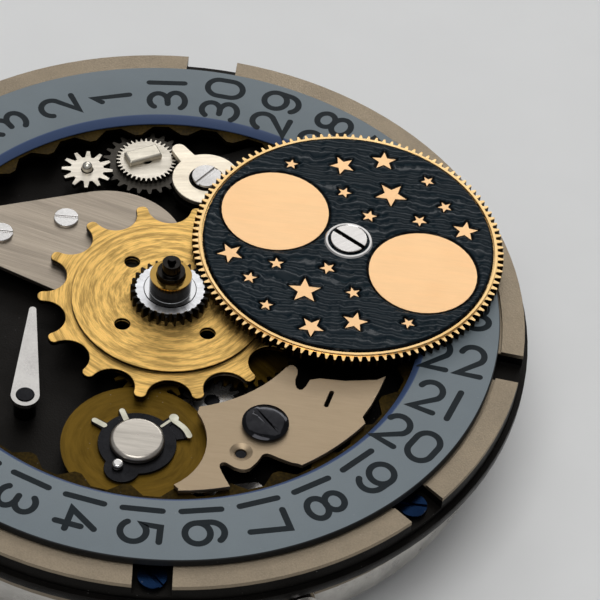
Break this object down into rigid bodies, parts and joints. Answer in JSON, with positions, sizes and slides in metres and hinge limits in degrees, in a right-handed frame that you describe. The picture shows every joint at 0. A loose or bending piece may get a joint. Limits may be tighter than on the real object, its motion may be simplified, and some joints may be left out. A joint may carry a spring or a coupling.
{
  "type": "moon phase watch movement",
  "caption": "Round self-winding watch movement, dial side open: moon phase disc, date ring, star wheel, calendar works, winding stem and rotor.",
  "frame": {"origin": "on the movement's axis, at the seat face of the casing flange", "axes": "+Z towards the dial side, +X to three o'clock along the winding stem, +Y to twelve o'clock"},
  "size_m": [0.0278, 0.026, 0.0071],
  "materials": {
    "plated_plate": "matt nickel plated, fine grained",
    "brushed_bridge": "straight brushed steel",
    "cover_metal": "warm grey, fine grained",
    "black_steel": "black polished",
    "blued_steel": "heat blued and polished",
    "polished_steel": "polished steel",
    "dark_steel": "dark tempered steel",
    "cream_metal": "satin, pale",
    "ring_paint": "satin grey blue with dark numbers",
    "gilt_brass": "gilt, finely brushed",
    "olive_brass": "brass, darker",
    "moon_enamel": "dark blue grained enamel",
    "rose_gold": "satin rose gold",
    "winding_steel": "sunray brushed",
    "balance_metal": "gilt, polished",
    "ruby": "clear red, polished",
    "rotor_metal": "striped plate, matt rim"
  },
  "bodies": {
    "movement": {"main_plate": "plated_plate", "dial_screws": "blued_steel", "wheel_posts": "polished_steel", "date_cover_plate": "cover_metal", "date_cover_screw": "black_steel", "calendar_bridge": "brushed_bridge", "calendar_screws": "polished_steel", "corrector_plate": "brushed_bridge", "moon_disc_screw": "polished_steel", "barrel_bridge": "plated_plate", "train_bridge": "plated_plate", "bridge_screws": "polished_steel", "jewels": "ruby", "pallet_bridge": "plated_plate", "balance_cock": "plated_plate", "rotor_bearing": "polished_steel"},
    "date_display": {"date_ring": "ring_paint", "date_ring_teeth": "gilt_brass"},
    "moon_display": {"moon_disc": "gilt_brass", "moon_disc_field": "moon_enamel", "moon_disc_moons": "rose_gold", "moon_disc_stars": "rose_gold"},
    "moon_star": {"moon_star_wheel": "gilt_brass", "moon_star_disc": "gilt_brass", "moon_pinion": "polished_steel"},
    "date_drive": {"date_drive_wheel": "olive_brass", "date_drive_boss": "polished_steel", "date_finger": "dark_steel", "date_finger_pin": "polished_steel"},
    "date_idler": {"date_idler_wheel": "gilt_brass"},
    "hours": {"hour_wheel": "polished_steel"},
    "minutes": {"cannon_pinion": "polished_steel"},
    "motion_wheel": {"minute_wheel": "polished_steel"},
    "setting": {"setting_wheel": "polished_steel"},
    "seconds": {"seconds_wheel": "gilt_brass"},
    "centre": {"centre_wheel": "gilt_brass"},
    "third": {"third_wheel": "gilt_brass"},
    "escape": {"escape_wheel": "winding_steel"},
    "fork": {"pallet_fork": "polished_steel"},
    "balance": {"balance_wheel": "balance_metal", "balance_staff": "polished_steel", "hairspring": "dark_steel"},
    "barrel": {"barrel_drum": "gilt_brass"},
    "barrel_core": {"barrel_arbor": "polished_steel", "ratchet_wheel": "winding_steel"},
    "crown_gear": {"crown_wheel": "winding_steel"},
    "click_pawl": {"click": "polished_steel"},
    "winding": {"winding_pinion": "polished_steel"},
    "stem": {"winding_stem": "polished_steel"},
    "clutch": {"clutch_pinion": "polished_steel"},
    "lever": {"setting_lever": "polished_steel"},
    "yoke_arm": {"yoke": "polished_steel"},
    "corrector": {"corrector_wheel": "polished_steel", "corrector_dog": "polished_steel"},
    "corrector_pick": {"corrector_star": "polished_steel"},
    "corrector_arm": {"corrector_lever": "cream_metal"},
    "date_detent": {"date_jumper": "dark_steel"},
    "moon_detent": {"moon_jumper": "dark_steel"},
    "rotor": {"rotor_plate": "rotor_metal", "rotor_weight": "rotor_metal"}
  },
  "joints": [
    {"name": "seconds_spin", "type": "hinge", "parent": "movement", "child": "seconds", "pos_m": [0, 0, 0], "axis": [0, 0, 1], "continuous": true},
    {"name": "centre_spin", "type": "hinge", "parent": "movement", "child": "centre", "pos_m": [0, 0, 0], "axis": [0, 0, 1], "continuous": true},
    {"name": "third_spin", "type": "hinge", "parent": "movement", "child": "third", "pos_m": [-0.0036, 0, 0], "axis": [0, 0, 1], "continuous": true},
    {"name": "escape_spin", "type": "hinge", "parent": "movement", "child": "escape", "pos_m": [0.00092, -0.00342, 0], "axis": [0, 0, 1], "continuous": true},
    {"name": "barrel_spin", "type": "hinge", "parent": "movement", "child": "barrel", "pos_m": [0.0028, 0.00485, 0], "axis": [0, 0, 1], "continuous": true},
    {"name": "minutes_spin", "type": "hinge", "parent": "movement", "child": "minutes", "pos_m": [0, 0, 0], "axis": [0, 0, 1], "continuous": true},
    {"name": "motion_wheel_spin", "type": "hinge", "parent": "movement", "child": "motion_wheel", "pos_m": [0.00198, 0.00198, 0], "axis": [0, 0, 1], "continuous": true},
    {"name": "hours_spin", "type": "hinge", "parent": "movement", "child": "hours", "pos_m": [0, 0, 0], "axis": [0, 0, 1], "continuous": true},
    {"name": "date_idler_spin", "type": "hinge", "parent": "movement", "child": "date_idler", "pos_m": [0.00234, -0.00135, 0], "axis": [0, 0, 1], "continuous": true},
    {"name": "date_drive_spin", "type": "hinge", "parent": "movement", "child": "date_drive", "pos_m": [0.00572, -0.0033, 0], "axis": [0, 0, 1], "continuous": true},
    {"name": "setting_spin", "type": "hinge", "parent": "movement", "child": "setting", "pos_m": [0.0043, 0.00003, 0], "axis": [0, 0, 1], "continuous": true},
    {"name": "moon_display_spin", "type": "hinge", "parent": "movement", "child": "moon_display", "pos_m": [0, 0.0069, 0], "axis": [0, 0, 1], "continuous": true},
    {"name": "moon_star_spin", "type": "hinge", "parent": "movement", "child": "moon_star", "pos_m": [0, 0, 0], "axis": [0, 0, 1], "continuous": true},
    {"name": "date_display_spin", "type": "hinge", "parent": "movement", "child": "date_display", "pos_m": [0, 0, 0], "axis": [0, 0, 1], "continuous": true},
    {"name": "fork_swing", "type": "hinge", "parent": "movement", "child": "fork", "pos_m": [0.00012, -0.00563, 0], "axis": [0, 0, 1], "range_deg": [-5, 5]},
    {"name": "balance_swing", "type": "hinge", "parent": "movement", "child": "balance", "pos_m": [-0.00069, -0.00787, 0], "axis": [0, 0, 1], "range_deg": [-270, 270], "stiffness_Nm_per_rad": 0.0000002},
    {"name": "ratchet_spin", "type": "hinge", "parent": "movement", "child": "barrel_core", "pos_m": [0.0028, 0.00485, 0], "axis": [0, 0, 1], "continuous": true},
    {"name": "crown_gear_spin", "type": "hinge", "parent": "movement", "child": "crown_gear", "pos_m": [0.0083, 0.00145, 0], "axis": [0, 0, 1], "continuous": true},
    {"name": "winding_spin", "type": "hinge", "parent": "movement", "child": "winding", "pos_m": [0, 0, -0.0011], "axis": [1, 0, 0], "continuous": true},
    {"name": "stem_pull", "type": "slide", "parent": "winding", "child": "stem", "axis": [1, 0, 0], "range_m": [0, 0.00045]},
    {"name": "clutch_slide", "type": "slide", "parent": "winding", "child": "clutch", "axis": [1, 0, 0], "range_m": [-0.00045, 0]},
    {"name": "lever_swing", "type": "hinge", "parent": "movement", "child": "lever", "pos_m": [0.0083, -0.002, 0], "axis": [0, 0, 1], "range_deg": [-13, 0]},
    {"name": "yoke_swing", "type": "hinge", "parent": "movement", "child": "yoke_arm", "pos_m": [0.0073, -0.0034, 0], "axis": [0, 0, 1], "range_deg": [0, 7.7]},
    {"name": "click_swing", "type": "hinge", "parent": "movement", "child": "click_pawl", "pos_m": [-0.00112, 0.00814, 0], "axis": [0, 0, 1], "range_deg": [-10, 0], "stiffness_Nm_per_rad": 0.00002},
    {"name": "corrector_spin", "type": "hinge", "parent": "movement", "child": "corrector", "pos_m": [-0.00715, 0.00175, 0], "axis": [0, 0, 1], "continuous": true},
    {"name": "corrector_pick_spin", "type": "hinge", "parent": "movement", "child": "corrector_pick", "pos_m": [-0.00725, -0.00055, 0], "axis": [0, 0, 1], "continuous": true},
    {"name": "corrector_arm_swing", "type": "hinge", "parent": "movement", "child": "corrector_arm", "pos_m": [-0.0053, 0.00345, 0], "axis": [0, 0, 1], "range_deg": [-8, 2]},
    {"name": "date_detent_swing", "type": "hinge", "parent": "movement", "child": "date_detent", "pos_m": [-0.0038, -0.0063, 0], "axis": [0, 0, 1], "range_deg": [0, 6], "stiffness_Nm_per_rad": 0.00002},
    {"name": "moon_detent_swing", "type": "hinge", "parent": "movement", "child": "moon_detent", "pos_m": [0.0026, -0.0063, 0], "axis": [0, 0, 1], "range_deg": [0, 6], "stiffness_Nm_per_rad": 0.00002},
    {"name": "rotor_spin", "type": "hinge", "parent": "movement", "child": "rotor", "pos_m": [0, 0, 0], "axis": [0, 0, 1], "continuous": true}
  ],
  "couplings": [
    {"joint": "centre_spin", "follows": "seconds_spin", "ratio": 0.016667},
    {"joint": "third_spin", "follows": "seconds_spin", "ratio": -0.125},
    {"joint": "escape_spin", "follows": "seconds_spin", "ratio": -12},
    {"joint": "barrel_spin", "follows": "seconds_spin", "ratio": -0.002381},
    {"joint": "minutes_spin", "follows": "seconds_spin", "ratio": 0.016667},
    {"joint": "motion_wheel_spin", "follows": "seconds_spin", "ratio": -0.0055556},
    {"joint": "hours_spin", "follows": "seconds_spin", "ratio": 0.0013889},
    {"joint": "date_idler_spin", "follows": "seconds_spin", "ratio": -0.0011111},
    {"joint": "date_drive_spin", "follows": "seconds_spin", "ratio": 0.00069444},
    {"joint": "setting_spin", "follows": "seconds_spin", "ratio": 0.0125},
    {"joint": "moon_star_spin", "follows": "moon_display_spin", "ratio": -4.2143},
    {"joint": "crown_gear_spin", "follows": "ratchet_spin", "ratio": -1.7},
    {"joint": "winding_spin", "follows": "ratchet_spin", "ratio": 2.4286},
    {"joint": "clutch_slide", "follows": "stem_pull", "ratio": -1},
    {"joint": "lever_swing", "follows": "stem_pull", "rad_per_m": -500},
    {"joint": "yoke_swing", "follows": "stem_pull", "rad_per_m": 294.12}
  ]
}
